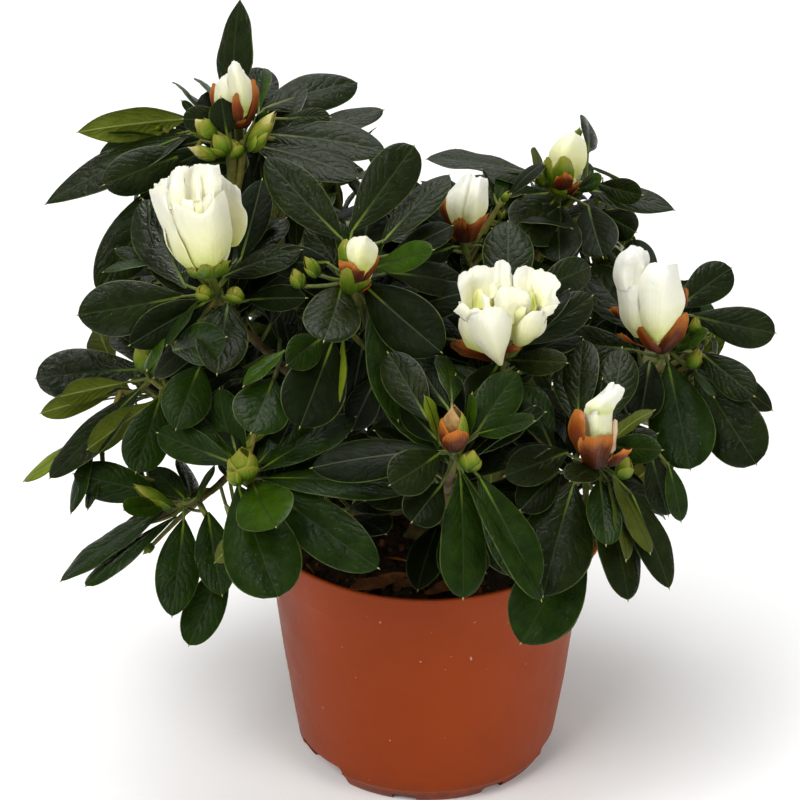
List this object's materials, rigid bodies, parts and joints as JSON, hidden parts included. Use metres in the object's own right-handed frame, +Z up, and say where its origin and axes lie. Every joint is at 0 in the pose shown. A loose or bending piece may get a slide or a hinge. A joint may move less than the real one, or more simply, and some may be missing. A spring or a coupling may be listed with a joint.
{
  "type": "potted azalea shrub",
  "caption": "Small evergreen azalea shrub with glossy dark leaves and white blooms and buds, growing in a plain round plastic nursery pot.",
  "frame": {"origin": "centre of the pot's flat underside, on the surface it stands on", "axes": "+Z up along the pot's axis, -Y towards the picture's viewpoint, +X to its right"},
  "size_m": [0.2355, 0.2302, 0.2463],
  "materials": {
    "pot": "satin terracotta-coloured plastic",
    "soil": "matte dark peat",
    "bark": "matte",
    "leaf": "glossy dark green"
  },
  "bodies": {
    "root": {"pot": "pot", "root_ball": "soil", "stem": "bark", "bough_top_left": "bark", "bough_upper_left": "bark", "bough_centre": "bark", "bough_front_centre": "bark", "bough_upper_right": "bark", "bough_back": "bark", "bough_left": "bark", "bough_front_left": "bark", "bough_front": "bark", "bough_front_right": "bark", "bough_right": "bark", "bough_back_right": "bark", "bough_back_left": "bark", "foliage_top_left": "leaf", "foliage_upper_left": "leaf", "foliage_left": "leaf", "foliage_lower_left": "leaf", "foliage_front_left": "leaf", "foliage_centre": "leaf", "foliage_inner": "leaf", "foliage_upper_right": "leaf", "foliage_front_centre": "leaf", "foliage_right": "leaf", "foliage_front_right": "leaf", "foliage_front": "leaf", "foliage_back_left": "leaf", "foliage_back_centre_left": "leaf", "foliage_back_centre_right": "leaf", "foliage_back_right": "leaf", "foliage_side_left": "leaf", "foliage_inner_back": "leaf", "foliage_low_back_left": "leaf", "foliage_low_back_right": "leaf", "foliage_side_right": "leaf"}
  },
  "joints": []
}
